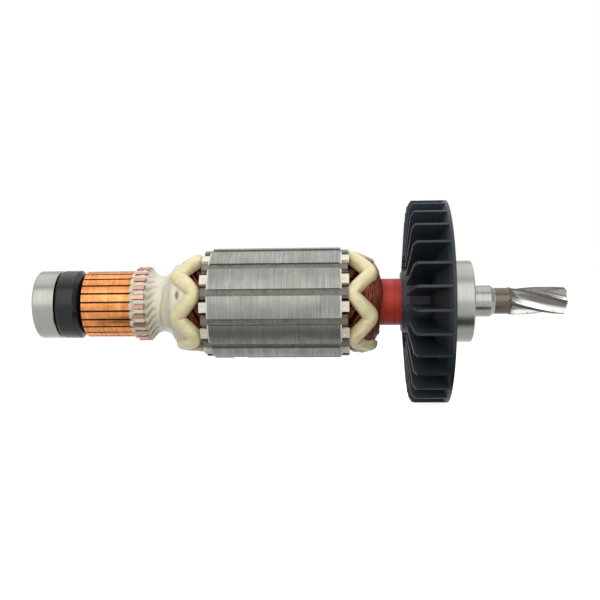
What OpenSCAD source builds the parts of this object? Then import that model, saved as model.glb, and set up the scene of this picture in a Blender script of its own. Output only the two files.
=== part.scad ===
// Wound armature of a hammer drill motor, with its two ball bearings and its fan.
// The shaft lies along +X and its pinion points to +X.
// The origin is the centre of the drive end bearing, and +Z is up.

/* [Shaft] */
// Diameter of the shaft in the drive bearing, the fan and the commutator
shaft_d = 10; // [9.6:0.1:10.6]
// Diameter of the journal in the rear bearing
rear_journal_d = 8; // [7:0.1:8.4]
// How far the rear journal stands out of its bearing
rear_stub = 0.6; // [0.3:0.1:4]
// Length of the ground collar in front of the drive bearing
collar_len = 7.2; // [4:0.1:12]
// Length of the chamfer at the end of the collar
collar_chamfer = 1.2; // [0.6:0.1:2]
// Diameter of the turned-down nose between the collar and the pinion
nose_d = 8.35; // [7.9:0.05:8.6]
// Length of the turned-down nose
nose_len = 4.3; // [2:0.1:8]

/* [Pinion] */
// Tip diameter of the pinion cut in the shaft's end
pinion_d = 8.7; // [8.4:0.05:9.6]
// Length of the pinion
pinion_len = 18.2; // [14:0.1:24]
// Depth of a gullet between two teeth
gullet_depth = 1.6; // [1.2:0.05:1.9]
// Width of a gullet at the tips of the teeth
gullet_w = 4.4; // [3.4:0.1:4.6]
// Helix angle of the right-hand teeth
helix_angle = 17; // [8:1:25]

/* [Bearings] */
// Outer diameter of the drive end bearing
drive_bearing_d = 26; // [25.6:0.1:28]
// Width of the drive end bearing
drive_bearing_w = 8; // [7.8:0.1:9]
// Ball diameter of the drive end bearing
drive_ball_d = 4.762; // [4.4:0.002:4.9]
// Outer diameter of the rear bearing
rear_bearing_d = 22; // [21.6:0.1:23]
// Width of the rear bearing
rear_bearing_w = 7; // [6.8:0.1:8]
// Ball diameter of the rear bearing
rear_ball_d = 3.968; // [3.6:0.002:4.1]
// Thickness of a bearing's dust shield
shield_t = 0.35; // [0.2:0.05:0.5]

/* [Fan] */
// Outer diameter of the fan
fan_d = 64.4; // [50:0.2:76]
// Length of the fan from its hub's front face to its rim
fan_len = 14.1; // [12.8:0.1:18]
// Diameter of the circle that the blades' inner ends stand on
fan_eye_d = 30.4; // [24:0.2:36]
// Diameter of the fan's hub
fan_hub_d = 19; // [17:0.2:22]
// Thickness of a blade
blade_t = 0.8; // [0.5:0.05:1.4]
// Wall of the dished back plate
fan_wall = 1.2; // [0.9:0.05:1.8]
// How far the back plate is dished behind its rim
fan_dish = 5; // [3:0.1:6]

/* [Core] */
// Diameter of the laminated core
core_d = 35.4; // [34.8:0.1:37]
// Length of the laminated core
core_len = 40.5; // [25:0.5:70]
// Width of a tooth's neck
tooth_w = 2.7; // [2.3:0.05:2.9]
// Width of a slot's mouth
slot_mouth = 2.2; // [1.8:0.05:2.6]
// Thickness of a tooth's tip beside the slot's mouth
tooth_tip = 1.1; // [0.8:0.05:1.4]
// Diameter of the circle through the bottoms of the slots
slot_floor_d = 21; // [20:0.1:21.4]
// Depth of the two balancing cuts
balance_cut = 0.45; // [0.2:0.05:0.8]

/* [Insulation] */
// Outer diameter of the red sleeve between the core and the fan
sleeve_d = 14.9; // [14:0.1:15.1]
// Length of the red sleeve between the core and the fan
sleeve_len = 19.2; // [18:0.1:26]
// Outer diameter of the sleeve inside the core
sleeve_core_d = 13.2; // [12:0.1:13.8]
// Thickness of the end insulators' flange
end_plate_t = 0.5; // [0.3:0.05:0.9]
// Length of the end insulators' tabs from the core
tab_len = 2.8; // [2.2:0.1:3]
// Width of an end insulator's tab
tab_w = 3.1; // [2.4:0.1:3.6]
// Thickness of the paper that lines a slot
liner_t = 0.25; // [0.15:0.01:0.3]
// How far the slot liners stand out of the core
liner_out = 2.2; // [1:0.1:2.3]
// How far the slot wedges stand out of the core
wedge_out = 2.4; // [1:0.1:2.5]

/* [Windings] */
// Width of a coil's bundle of wire
coil_w = 2.3; // [1.6:0.05:2.4]
// Height of a coil's bundle of wire
coil_h = 1.9; // [1.4:0.05:1.95]
// Reach of the coil heads beyond their straight part at the rear
rear_head_reach = 8.8; // [8.4:0.1:9.4]
// Reach of the coil heads beyond their straight part at the fan end
front_head_reach = 9.8; // [8.6:0.1:10.4]
// Width of the zigzag bead of resin on each coil head
bead_w = 4.4; // [3:0.1:5]
// Height of the rear bead above the coils
rear_bead_h = 2.4; // [1.8:0.1:3]
// Height of the front bead above the coils
front_bead_h = 3; // [1.8:0.1:3.4]
// Height of the zigzag from one crest to the other
bead_swing = 4.8; // [3:0.1:5.6]

/* [Commutator] */
// Diameter of the commutator's brush track
comm_d = 21.45; // [20.6:0.05:23]
// Length of the brush track
track_len = 15.25; // [10:0.1:22]
// Length of the risers with the hooks
riser_len = 5.1; // [4.6:0.1:6]
// Width of the slit between two bars
bar_slit = 0.6; // [0.4:0.05:0.8]
// Depth of the slits that are cut down below the bars' surface
slit_depth = 0.9; // [0.5:0.05:1.2]
// Diameter across the hooks
hook_d = 24; // [23.4:0.1:25]
// Width of a hook
hook_w = 1.25; // [1:0.05:1.5]
// Distance from the commutator to the core
comm_gap = 21.15; // [20.4:0.05:24]
// Diameter of the resin coat at its waist
waist_d = 18.1; // [17:0.1:19]

/* [Rear ring] */
// Diameter of the black insulating ring
ring_d = 22.1; // [21:0.1:24]
// Length of the black insulating ring
ring_len = 7.35; // [6:0.05:10]
// Gap between the black ring and the commutator
ring_gap = 1.5; // [1:0.1:3]

/* [Hidden] */
$fn = 96;

// Counts, which are fixed by the list of nodes and the way the coils are laid.
slots = 12;
bars = 2 * slots;
coil_span = slots / 2 - 1;
blades = 29;
teeth = 5;
balls = 7;
bead_waves = slots / 2;

// Clearances
press_gap = 0.01;   // radial gap of pieces that are pressed together
race_gap = 0.03;    // gap between a ball and its race
seal_gap = 0.2;     // gap between a shield and the inner ring
resin_gap = 0.05;   // gap between the resin and what it covers
slot_gap = 0.05;    // gap between the pieces in a slot
slot_fill = 0.35;   // room between the lowest bundle and the floor of its liner

// Angles about the shaft, from +Y towards +Z
tooth_phase = 4.4;
bead_phase = 169.4;
fan_phase = 184.4;
pinion_phase = 17;

// Stations along the shaft
drive_front = drive_bearing_w / 2;
drive_back = -drive_bearing_w / 2;
fan_front = drive_back - fan_len;
core_front = fan_front - sleeve_len;
core_back = core_front - core_len;
comm_front = core_back - comm_gap;
track_front = comm_front - riser_len;
comm_back = track_front - track_len;
ring_front = comm_back - ring_gap;
ring_back = ring_front - ring_len;
rear_front = ring_back;
rear_back = rear_front - rear_bearing_w;
collar_end = drive_front + collar_len;
pinion_back = collar_end + nose_len;
pinion_end = pinion_back + pinion_len;

// Slots: radii of their parts and of the layers in them
core_r = core_d / 2;
mouth_r = core_r - tooth_tip;
wedge_t = 0.6;
wedge_r = mouth_r - 0.35;
slot_top_r = wedge_r - wedge_t - liner_t;
bottom_r = slot_floor_d / 2 + liner_t + slot_fill + coil_h / 2;
top_r = slot_top_r - slot_gap - coil_h / 2;
head_out = 2.4;
head_drop = 2.1;
head_taper = 1.1;
nose_power = 1.25;
nose_w = 0.8 * coil_w;

// Puts a shape that is drawn about +Z on the shaft's axis.
module on_axis() {
    rotate([0, 90, 0]) children();
}

// A turned piece: each point of the outline is [radius, place along the shaft].
module turned(outline) {
    on_axis() rotate_extrude() polygon(outline);
}

// Copies of what is drawn at angle 0, on a circle about the shaft.
module around(count, phase) {
    for (i = [0:count - 1]) rotate([phase + i * 360 / count, 0, 0]) children();
}

// ---------------------------------------------------------------- shaft

// Outline of a gullet's cutter: a rounded V that widens outside the teeth.
gullet_steps = 18;
gullet_runout = 4;
helix_turn = 360 * tan(helix_angle) / (PI * pinion_d);

function gullet_lift(s) = s >= gullet_runout ? 0
    : gullet_depth * 1.15 * pow(1 - s / gullet_runout, 2);

function gullet_ring(s, x) =
    let (
        root = pinion_d / 2 - gullet_depth + gullet_lift(s),
        turn = helix_turn * x,
        half = gullet_w / 2,
        rim = pinion_d / 2 + 0.4,
        section = [[rim, -half * 1.25], [pinion_d / 2 - gullet_depth * 0.35, -half],
                   [root + 0.2, -half * 0.5], [root, 0], [root + 0.2, half * 0.5],
                   [pinion_d / 2 - gullet_depth * 0.35, half], [rim, half * 1.25]]
    )
    [for (p = section)
        let (r = max(p[0], root), a = turn)
        [x, r * cos(a) - p[1] * sin(a), r * sin(a) + p[1] * cos(a)]];

// The triangles between two rings of n points each.
function strip(n, i, j) = [for (k = [0:n - 1]) for (t = [
    [i * n + k, i * n + (k + 1) % n, j * n + (k + 1) % n],
    [i * n + k, j * n + (k + 1) % n, j * n + k]]) t];

// Joins rings of equal length into one closed solid.

module swept(rings) {
    n = len(rings[0]);
    m = len(rings);
    faces = concat(
        [for (i = [0:m - 2]) for (t = strip(n, i, i + 1)) t],
        [[for (k = [n - 1:-1:0]) k]],
        [[for (k = [0:n - 1]) (m - 1) * n + k]]);
    polyhedron([for (ring = rings) for (p = ring) p], faces);
}

// Joins rings into one closed loop, such as a coil or a bead.
module looped(rings) {
    n = len(rings[0]);
    m = len(rings);
    polyhedron([for (ring = rings) for (p = ring) p],
               [for (i = [0:m - 1]) for (t = strip(n, i, (i + 1) % m)) t]);
}

module gullet() {
    length = pinion_len + 1;
    swept([for (i = [0:gullet_steps])
        let (s = length * i / gullet_steps) gullet_ring(s, pinion_back + s)]);
}

module shaft() {
    r = shaft_d / 2;
    tip = 0.6;
    edge = 0.4;
    color("silver") difference() {
        turned([
            [0, rear_back - rear_stub],
            [rear_journal_d / 2 - edge, rear_back - rear_stub],
            [rear_journal_d / 2, rear_back - rear_stub + edge],
            [rear_journal_d / 2, rear_front],
            [r, rear_front],
            [r, collar_end - collar_chamfer],
            [nose_d / 2, collar_end],
            [nose_d / 2, pinion_back],
            [pinion_d / 2, pinion_back + 0.3],
            [pinion_d / 2, pinion_end - tip],
            [pinion_d / 2 - tip, pinion_end],
            [0, pinion_end]]);
        around(teeth, pinion_phase) gullet();
    }
}

// ---------------------------------------------------------------- core

// One slot of a lamination, drawn along +X. grow widens the outline all round.
module slot_shape(grow) {
    floor_r = slot_floor_d / 2;
    half = function(r) r * tan(180 / slots) - tooth_w / 2 / cos(180 / slots) - grow;
    polygon([
        [floor_r + grow, -half(floor_r) * 0.75],
        [floor_r + 0.5, -half(floor_r + 0.5)],
        [mouth_r - 0.9, -half(mouth_r - 0.9)],
        [mouth_r - grow, -half(mouth_r - 0.9) * 0.75],
        [mouth_r - grow, half(mouth_r - 0.9) * 0.75],
        [mouth_r - 0.9, half(mouth_r - 0.9)],
        [floor_r + 0.5, half(floor_r + 0.5)],
        [floor_r + grow, half(floor_r) * 0.75]]);
}

// A lamination's outline of the given outer diameter, with its slots and bore.
module lamination(d) {
    difference() {
        circle(d = d);
        circle(d = sleeve_core_d + 2 * press_gap);
        for (i = [0:slots - 1]) rotate(tooth_phase + (i + 0.5) * 360 / slots) {
            slot_shape(0);
            translate([mouth_r - 0.5, -slot_mouth / 2]) square([core_r, slot_mouth]);
        }
    }
}

// Extrudes a flat outline along the shaft, with its X along +Y and its Y along +Z.
module plate(from, to) {
    translate([from, 0, 0]) rotate([90, 0, 90]) linear_extrude(to - from) children();
}

module lamination_stack() {
    pocket_len = 6;
    notch_at = 5.8;
    notch_len = 4.7;
    color("gray") difference() {
        plate(core_back, core_front) lamination(core_d);
        // balancing pocket, milled in one tooth at the fan end
        rotate([180 + tooth_phase, 0, 0])
            translate([core_front - pocket_len, core_r - balance_cut, -core_r / 2])
                cube([pocket_len + 1, core_r, core_r]);
        // balancing notch, milled across the lowest tooth
        rotate([270 + tooth_phase, 0, 0])
            translate([core_back + notch_at, core_r - balance_cut, -core_r / 2])
                cube([notch_len, core_r, core_r]);
    }
}

module insulating_sleeve() {
    bore = shaft_d / 2 + press_gap;
    color("firebrick") turned([
        [bore, comm_front + 0.5],
        [sleeve_core_d / 2, comm_front + 0.5],
        [sleeve_core_d / 2, core_front + end_plate_t],
        [sleeve_d / 2, core_front + end_plate_t],
        [sleeve_d / 2, fan_front],
        [bore, fan_front]]);
}

// An end insulator on the core's face: a plate with a tab on each tooth.
module end_insulator(from, to, tab_from, tab_to) {
    plate_d = core_d - 1;
    tab_r = plate_d / 2 - 1.3;
    tab_t = 1.1;
    color("ivory") union() {
        plate(from, to) lamination(plate_d);
        around(slots, tooth_phase) difference() {
            translate([tab_from, tab_r, -tab_w / 2])
                cube([tab_to - tab_from, tab_t, tab_w]);
            translate([(tab_from + tab_to) / 2, tab_r + tab_t + 0.4, 0]) sphere(d = 1.2, $fn = 24);
        }
    }
}

module rear_end_insulator() {
    end_insulator(core_back - end_plate_t, core_back, core_back - tab_len, core_back);
}

module front_end_insulator() {
    end_insulator(core_front, core_front + end_plate_t, core_front, core_front + tab_len);
}

// A slot's lining in section: a thin channel, open towards the wedge.
module liner_shape() {
    difference() {
        slot_shape(slot_gap / 2);
        slot_shape(slot_gap / 2 + liner_t);
        translate([wedge_r - wedge_t - slot_gap, -core_r]) square([core_r, 2 * core_r]);
    }
}

// The floor of each lining ends at the end insulators, and its walls stand further out.
module slot_liners() {
    cuff_r = slot_floor_d / 2 + 0.9;
    color("peru") around(slots, tooth_phase + 180 / slots) difference() {
        plate(core_back - liner_out, core_front + liner_out) liner_shape();
        for (from = [core_back - liner_out - 1, core_front + end_plate_t])
            translate([from, 0, -core_r])
                cube([liner_out + 1 - end_plate_t, cuff_r, 2 * core_r]);
    }
}

module slot_wedges() {
    wide = slot_mouth + 1.2;
    narrow = slot_mouth - 2 * slot_gap;
    proud = core_r - 0.55;
    color("darkslategray") around(slots, tooth_phase + 180 / slots)
        plate(core_back - wedge_out, core_front + wedge_out) union() {
            translate([wedge_r - wedge_t, -wide / 2]) square([wedge_t, wide]);
            translate([wedge_r - 0.1, -narrow / 2]) square([proud - wedge_r + 0.1, narrow]);
        }
}

// ---------------------------------------------------------------- coils

// Stations along a coil head, as a share of its span. The wire changes layer at its nose.
nose_half = 0.036;
head_stations = [0, 0.1, 0.2, 0.3, 0.38, 0.5 - nose_half, 0.5, 0.5 + nose_half,
                 0.62, 0.7, 0.8, 0.9, 1];

function head_shape(t) = 1 - pow(abs(2 * t - 1), nose_power);
function head_layer(t) = t < 0.49 ? 0 : t > 0.51 ? 1 : 0.5;

// A station of a coil: [angle, radius, place along the shaft, width].
function head_point(t, start, sense, face, out, reach, first, last) =
    let (inner = bottom_r - head_drop, outer = top_r - head_drop,
         low = first < last ? inner : outer, high = first < last ? outer : inner)
    [start + sense * t * coil_span * 360 / slots,
     low + (high - low) * head_layer(t) - head_taper * head_shape(t),
     face + out * (head_out + reach * head_shape(t)),
     coil_w + (nose_w - coil_w) * head_shape(t)];

function coil_path(angle) =
    let (far = angle + coil_span * 360 / slots, end = end_plate_t, dip = head_out - 0.4)
    concat(
        [[angle, bottom_r - head_drop, core_back - dip, coil_w],
         [angle, bottom_r, core_back - end, coil_w], [angle, bottom_r, core_front + end, coil_w],
         [angle, bottom_r - head_drop, core_front + dip, coil_w]],
        [for (t = head_stations)
            head_point(t, angle, 1, core_front, 1, front_head_reach, 0, 1)],
        [[far, top_r - head_drop, core_front + dip, coil_w],
         [far, top_r, core_front + end, coil_w], [far, top_r, core_back - end, coil_w],
         [far, top_r - head_drop, core_back - dip, coil_w]],
        [for (t = head_stations)
            head_point(t, far, -1, core_back, -1, rear_head_reach, 1, 0)]);

// The bundle's section at a station, from the stations before and after it.
function bundle_ring(before, here, after) =
    let (
        ds = (after[0] - before[0]) * PI / 180 * here[1],
        dx = after[2] - before[2],
        l = norm([ds, dx]),
        a = here[0],
        out = [0, cos(a), sin(a)],
        side = (dx / l) * [0, sin(a), -cos(a)] + (ds / l) * [1, 0, 0],
        w = here[3] / 2, h = coil_h / 2, c = coil_h * 0.3,
        section = [[w - c, -h], [c - w, -h], [-w, c - h], [-w, h - c],
                   [c - w, h], [w - c, h], [w, h - c], [w, c - h]]
    )
    [for (p = section) [here[2], 0, 0] + p[0] * side + (here[1] + p[1]) * out];

module coil(i) {
    path = coil_path(tooth_phase + (i + 0.5) * 360 / slots);
    n = len(path);
    color("saddlebrown") looped([for (k = [0:n - 1])
        bundle_ring(path[(k + n - 1) % n], path[k], path[(k + 1) % n])]);
}

// ---------------------------------------------------------------- resin

// Radius of the coil heads' surface, at a distance from the core.
function head_surface(d, reach) =
    top_r - head_drop + coil_h / 2 - head_taper * max(0, d - head_out) / reach;

// A zigzag bead round a coil head. out is -1 at the rear and 1 at the fan end.
bead_rings = 60;
bead_points = 6;

function bead_distance(a) =
    tab_len + bead_w / 2 + bead_swing / 2 * (1 - cos(bead_waves * (a - bead_phase)));

function bead_ring(a, face, out, height, reach) =
    let (
        step = 360 / bead_rings,
        d = bead_distance(a),
        base = head_surface(d - bead_w / 2, reach) + 2 * resin_gap,
        ds = 2 * step * PI / 180 * base,
        dx = out * (bead_distance(a + step) - bead_distance(a - step)),
        l = norm([ds, dx]),
        side = (dx / l) * [0, sin(a), -cos(a)] + (ds / l) * [1, 0, 0]
    )
    [for (k = [0:bead_points])
        let (b = 180 * k / bead_points,
             p = [-bead_w / 2 * cos(b), height * sin(b)])
        [face + out * d, 0, 0] + p[0] * side + (base + p[1]) * [0, cos(a), sin(a)]];

module bead(face, out, height, reach) {
    color("wheat") looped([for (i = [0:bead_rings - 1])
        bead_ring(i * 360 / bead_rings, face, out, height, reach)]);
}

module rear_bead() {
    bead(core_back, -1, rear_bead_h, rear_head_reach);
}

module front_bead() {
    bead(core_front, 1, front_bead_h, front_head_reach);
}

// The edge of the rear bead that faces the commutator, as a distance from the core.
function bead_edge(a) =
    let (slope = bead_swing / 2 * bead_waves * sin(bead_waves * (a - bead_phase)) / (waist_d / 2 + 3))
    bead_distance(a) + bead_w / 2 * norm([1, slope]) + 4 * resin_gap;

// Lengths of the resin's waist behind the hooks, and of the flare that leads to the bead.
hook_room = 1.4;
shoulder_len = 1.3;
waist_start = 3.2;
waist_end = 4.8;
flare_len = 2.2;
flare_h = 1.4;
coat_t = 0.9;

// The resin over the lead wires, from the hooks' ends to the edge of the rear bead.
module lead_resin_coat() {
    nose = core_back - head_out - rear_head_reach - nose_w / 2 - 2 * resin_gap;
    bore = sleeve_core_d / 2 + press_gap;
    inner = function(x) head_surface(core_back - x, rear_head_reach) + 2 * resin_gap;
    section = function(a) let (end = max(nose + 0.1, core_back - bead_edge(a))) [
        [comm_front + 0.5, bore],
        [comm_front + 0.1, hook_d / 2 - hook_room],
        [comm_front + shoulder_len, waist_d / 2 + coat_t - 0.1],
        [comm_front + waist_start, waist_d / 2],
        [comm_front + waist_end, waist_d / 2],
        [comm_front + waist_end + flare_len, waist_d / 2 + flare_h],
        [nose - 0.4, inner(nose) + 0.5],
        [end, inner(end) + coat_t],
        [end, inner(end)],
        [nose, inner(nose)],
        [nose, bore]];
    color("linen") looped([for (i = [0:bead_rings - 1])
        let (a = i * 360 / bead_rings)
        [for (p = section(a)) [p[0], p[1] * cos(a), p[1] * sin(a)]]]);
}

// ---------------------------------------------------------------- commutator

track_r = comm_d / 2;
riser_r = track_r + 0.25;
bar_h = 3.4;
bar_root = track_r - bar_h;
wire_d = 0.55;
hook_t = 0.5;
hook_len = riser_len - 1.3;
loop_len = 2.5;

// The dovetail feet that hold a bar in the moulding: how far they stand out, the length of
// their flat, of their slope and of the bar beyond them.
foot_h = 0.9;
foot_len = 2;
foot_slope = 1;
foot_from = 2;

// Turns an outline of [radius, place] through part of a circle, centred on +Y.
module sector(outline, angle) {
    on_axis() rotate([0, 0, 90 - angle / 2]) rotate_extrude(angle = angle) polygon(outline);
}

// A copper bar: its brush track, its anchor in the moulding and its riser.
module bar_blank(gap) {
    angle = 360 / bars - bar_slit / track_r * 180 / PI;
    web = bar_root + foot_h;
    sector([
        [web - gap, comm_back - gap],
        [track_r + gap, comm_back - gap],
        [track_r + gap, track_front],
        [riser_r + gap, track_front],
        [riser_r + gap, comm_front],
        [web - gap, comm_front],
        [web - gap, comm_front - foot_from - foot_slope],
        [bar_root - gap, comm_front - foot_from],
        [bar_root - gap, comm_front - foot_from - foot_len],
        [web - gap, comm_front - foot_from - foot_len - foot_slope],
        [web - gap, comm_back + foot_from + foot_len + foot_slope],
        [bar_root - gap, comm_back + foot_from + foot_len],
        [bar_root - gap, comm_back + foot_from],
        [web - gap, comm_back + foot_from + foot_slope]], angle + 2 * gap / track_r * 180 / PI);
}

// The hook folded back over the lead wire.
module hook() {
    r = hook_d / 2;
    plate_y = riser_r + wire_d + 0.1;
    translate([comm_front - hook_t, riser_r - 0.1, -hook_w / 2])
        cube([hook_t, r - riser_r - hook_t / 2, hook_w]);
    translate([comm_front - hook_len + hook_w / 2, plate_y, -hook_w / 2])
        cube([hook_len - hook_w / 2, r - plate_y, hook_w]);
    translate([comm_front - hook_len + hook_w / 2, plate_y, 0])
        rotate([-90, 0, 0]) cylinder(h = r - plate_y, d = hook_w, $fn = 24);
}

module commutator_bar(i) {
    color("darkorange") rotate([tooth_phase + i * 360 / bars, 0, 0]) union() {
        bar_blank(0);
        hook();
    }
}

module commutator_body() {
    bore = shaft_d / 2 + press_gap;
    web_r = track_r - slit_depth;
    color("dimgray") difference() {
        turned([
            [bore, comm_back - 0.4],
            [track_r - 1.2, comm_back - 0.4],
            [web_r, comm_back],
            [web_r, comm_front],
            [web_r - 0.8, comm_front + 0.1],
            [sleeve_core_d / 2, comm_front + 0.1],
            [sleeve_core_d / 2, comm_front + 0.5 - press_gap],
            [bore, comm_front + 0.5 - press_gap]]);
        around(bars, tooth_phase) bar_blank(press_gap);
    }
}

// The coil ends that pass under the hooks, one loop of wire round each hook.
module lead_wires() {
    r = riser_r + wire_d / 2 + 0.02;
    side = hook_w / 2 + wire_d / 2 + 0.03;
    back = comm_front - loop_len;
    color("saddlebrown") around(bars, tooth_phase) union() {
        for (s = [-1, 1]) translate([back, r, s * side])
            rotate([0, 90, 0]) cylinder(h = comm_front - back, d = wire_d, $fn = 16);
        translate([back, r, -side]) cylinder(h = 2 * side, d = wire_d, $fn = 16);
        for (s = [-1, 1]) translate([back, r, s * side]) sphere(d = wire_d, $fn = 16);
    }
}

module rear_insulating_ring() {
    r = ring_d / 2;
    edge = 0.8;
    bore = shaft_d / 2 + press_gap;
    relief = 0.25;
    seat = shaft_d / 2 + 0.7;
    cone = 1.3;
    color("black") turned([
        [bore, ring_back],
        [seat, ring_back],
        [seat + 0.3, ring_back + relief],
        [r - edge, ring_back + relief],
        [r - edge * 0.3, ring_back + relief + edge * 0.3],
        [r, ring_back + relief + edge],
        [r, ring_front - cone],
        [r - 1.35, ring_front],
        [r - 2.6, ring_front],
        [r - 3.6, ring_front - 1],
        [seat + 1.6, ring_front - 1],
        [seat + 1.6, comm_back - 0.4],
        [bore, comm_back - 0.4]]);
}

// ---------------------------------------------------------------- fan

// The fan's back plate: width of its sloping rim, and height of the lip round it.
fan_rim_w = 8.6;
fan_lip = 1.2;
fan_edge = 1;

module fan() {
    r = fan_d / 2;
    back = drive_back;
    bore = shaft_d / 2 + press_gap;
    hub_r = fan_hub_d / 2;
    eye_r = fan_eye_d / 2;
    floor_x = back - fan_dish;
    boss_r = shaft_d / 2 + 1.7;
    blade_front = fan_front + 0.9;
    color("black") union() {
        turned([
            [bore, back],
            [boss_r, back],
            [boss_r + 0.3, floor_x + fan_wall],
            [eye_r, floor_x + fan_wall - 0.3],
            [r - fan_rim_w + 0.1, floor_x + fan_wall + 0.3],
            [r - fan_lip - 0.4, back - 0.9],
            [r - fan_lip, back],
            [r, back],
            [r, back - fan_edge],
            [r - fan_lip, back - 2 * fan_edge],
            [r - fan_rim_w - 0.1, floor_x - 0.2],
            [eye_r, floor_x - 1],
            [hub_r + 0.6, fan_front + 2.2],
            [hub_r, fan_front],
            [bore, fan_front]]);
        around(blades, fan_phase) translate([0, 0, -blade_t / 2]) linear_extrude(blade_t)
            polygon([
                [blade_front, eye_r],
                [blade_front + 1.3, r - 1.7],
                [blade_front + 2.3, r],
                [back - fan_edge / 2, r],
                [back - fan_edge, r - fan_lip],
                [floor_x + 0.3, r - fan_rim_w - 0.1],
                [floor_x - 0.7, eye_r]]);
    }
}

// ---------------------------------------------------------------- bearings

// Radius of the circle through the balls' centres.
function pitch_r(d, bore) = (d + bore) / 4;

// Radii of the rings' shoulders.
function inner_shoulder(d, bore) = pitch_r(d, bore) - 0.205 * (d - bore) / 2;
function outer_shoulder(d, bore) = pitch_r(d, bore) + 0.205 * (d - bore) / 2;

// A ring's race: a round groove, slightly wider than the balls.
module race(d, bore, ball) {
    on_axis() rotate_extrude()
        translate([pitch_r(d, bore), 0]) circle(r = ball / 2 + race_gap, $fn = 48);
}

module outer_ring(x, d, w, bore, ball) {
    r = d / 2;
    edge = 0.4;
    step = outer_shoulder(d, bore) + 0.55;
    deep = shield_t + 0.35;
    color("lightgray") translate([x, 0, 0]) difference() {
        turned([
            [step, -w / 2],
            [r - edge, -w / 2],
            [r - 0.3 * edge, -w / 2 + 0.3 * edge],
            [r, -w / 2 + edge],
            [r, w / 2 - edge],
            [r - 0.3 * edge, w / 2 - 0.3 * edge],
            [r - edge, w / 2],
            [step, w / 2],
            [step, w / 2 - deep],
            [outer_shoulder(d, bore), w / 2 - deep - 0.3],
            [outer_shoulder(d, bore), -w / 2 + deep + 0.3],
            [step, -w / 2 + deep]]);
        race(d, bore, ball);
    }
}

module inner_ring(x, d, w, bore, ball) {
    edge = 0.3;
    color("lightgray") translate([x, 0, 0]) difference() {
        turned([
            [bore / 2, -w / 2 + edge],
            [bore / 2 + edge, -w / 2],
            [inner_shoulder(d, bore) - edge, -w / 2],
            [inner_shoulder(d, bore), -w / 2 + edge],
            [inner_shoulder(d, bore), w / 2 - edge],
            [inner_shoulder(d, bore) - edge, w / 2],
            [bore / 2 + edge, w / 2],
            [bore / 2, w / 2 - edge]]);
        race(d, bore, ball);
    }
}

module ball_set(x, d, bore, ball) {
    color("white") translate([x, 0, 0]) around(balls, 0)
        translate([0, pitch_r(d, bore), 0]) sphere(d = ball, $fn = 32);
}

// A crown cage: a ring with a pocket for each ball, open at one side.
module ball_cage(x, d, bore, ball) {
    p = pitch_r(d, bore);
    half = 0.19 * ball;
    color("darkgoldenrod") translate([x, 0, 0]) difference() {
        turned([
            [p - half, -0.28 * ball],
            [p + half, -0.28 * ball],
            [p + half, 0.58 * ball],
            [p - half, 0.58 * ball]]);
        around(balls, 0) translate([0, p - half - 1, 0]) rotate([-90, 0, 0])
            cylinder(h = 2 * half + 2, r = ball / 2 + 2 * race_gap, $fn = 48);
    }
}

module shield_pair(x, d, w, bore) {
    hole = inner_shoulder(d, bore) + seal_gap;
    rim = outer_shoulder(d, bore) + 0.55 - press_gap;
    color("gray") translate([x, 0, 0]) for (side = [-1, 1])
        turned([
            [hole, side * (w / 2 - 0.35)],
            [rim, side * (w / 2 - 0.35)],
            [rim, side * (w / 2 - 0.35 - shield_t)],
            [hole, side * (w / 2 - 0.35 - shield_t)]]);
}

rear_mid = (rear_front + rear_back) / 2;
drive_bore = shaft_d + 2 * press_gap;
rear_bore = rear_journal_d + 2 * press_gap;

module drive_bearing_outer_ring() {
    outer_ring(0, drive_bearing_d, drive_bearing_w, drive_bore, drive_ball_d);
}

module drive_bearing_inner_ring() {
    inner_ring(0, drive_bearing_d, drive_bearing_w, drive_bore, drive_ball_d);
}

module drive_bearing_balls() {
    ball_set(0, drive_bearing_d, drive_bore, drive_ball_d);
}

module drive_bearing_cage() {
    ball_cage(0, drive_bearing_d, drive_bore, drive_ball_d);
}

module drive_bearing_shields() {
    shield_pair(0, drive_bearing_d, drive_bearing_w, drive_bore);
}

module rear_bearing_outer_ring() {
    outer_ring(rear_mid, rear_bearing_d, rear_bearing_w, rear_bore, rear_ball_d);
}

module rear_bearing_inner_ring() {
    inner_ring(rear_mid, rear_bearing_d, rear_bearing_w, rear_bore, rear_ball_d);
}

module rear_bearing_balls() {
    ball_set(rear_mid, rear_bearing_d, rear_bore, rear_ball_d);
}

module rear_bearing_cage() {
    ball_cage(rear_mid, rear_bearing_d, rear_bore, rear_ball_d);
}

module rear_bearing_shields() {
    shield_pair(rear_mid, rear_bearing_d, rear_bearing_w, rear_bore);
}

shaft();
insulating_sleeve();
lamination_stack();
rear_end_insulator();
front_end_insulator();
slot_liners();
slot_wedges();
for (i = [1:slots]) coil(i - 1);
rear_bead();
front_bead();
commutator_body();
for (i = [1:bars]) commutator_bar(i - 1);
lead_wires();
lead_resin_coat();
rear_insulating_ring();
fan();
drive_bearing_outer_ring();
drive_bearing_inner_ring();
drive_bearing_balls();
drive_bearing_cage();
drive_bearing_shields();
rear_bearing_outer_ring();
rear_bearing_inner_ring();
rear_bearing_balls();
rear_bearing_cage();
rear_bearing_shields();
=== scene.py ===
"""Looks of the motor armature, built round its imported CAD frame."""

import logging
import math
import random
from collections.abc import Callable, Sequence
from dataclasses import dataclass
from enum import Enum
from functools import cached_property, partial

import bpy
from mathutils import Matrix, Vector, noise
from mathutils.kdtree import KDTree

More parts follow.
